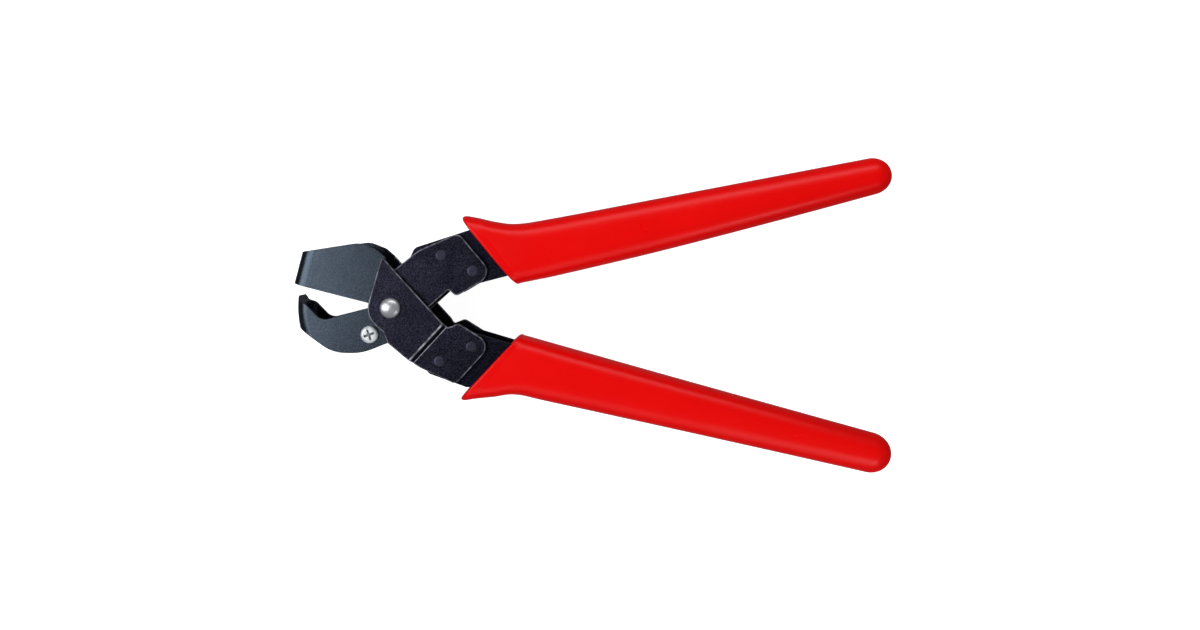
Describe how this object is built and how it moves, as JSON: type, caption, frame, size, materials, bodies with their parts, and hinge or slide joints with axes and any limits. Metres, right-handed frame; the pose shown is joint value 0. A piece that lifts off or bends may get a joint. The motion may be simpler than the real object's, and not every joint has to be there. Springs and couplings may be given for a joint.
{
  "type": "notching pliers",
  "caption": "Spring-opened hand pliers with a U-shaped punch jaw that swings into a U-shaped die jaw, pressed steel levers and red plastic grips.",
  "frame": {"origin": "on the pivot's axis, at the flat end of the pivot's far head", "axes": "+X along the tool's middle line towards the grips, +Y towards the upper grip, +Z along the pivot towards its dome"},
  "size_m": [0.2513, 0.1334, 0.0342],
  "materials": {
    "burnished_jaw": "blackened, satin",
    "blackened_plate": "blackened, fine grain",
    "bright_steel": "bright satin",
    "zinc_steel": "bright zinc plate",
    "spring_steel": "drawn wire",
    "red_grip": "glossy"
  },
  "bodies": {
    "lower_lever": {"lower_cheek_front": "blackened_plate", "lower_cheek_rear": "blackened_plate", "upper_jaw": "burnished_jaw", "lower_arm": "blackened_plate", "lower_grip": "red_grip", "lower_rivet_fore": "blackened_plate", "lower_rivet_aft": "blackened_plate", "pivot_rivet": "bright_steel", "pivot_sleeve": "bright_steel", "return_spring": "spring_steel"},
    "upper_lever": {"upper_cheek_front": "blackened_plate", "upper_cheek_rear": "blackened_plate", "lower_jaw": "burnished_jaw", "upper_arm": "blackened_plate", "upper_grip": "red_grip", "upper_rivet_fore": "blackened_plate", "upper_rivet_aft": "blackened_plate", "jaw_screw": "zinc_steel", "jaw_nut": "zinc_steel", "screw_sleeve": "bright_steel"}
  },
  "joints": [
    {"name": "pivot_hinge", "type": "hinge", "parent": "lower_lever", "child": "upper_lever", "pos_m": [0, 0, 0.0171], "axis": [0, 0, -1], "range_deg": [0, 22.5], "stiffness_Nm_per_rad": 1.2, "springref_deg": -28.65, "deforming": ["return_spring"]}
  ]
}
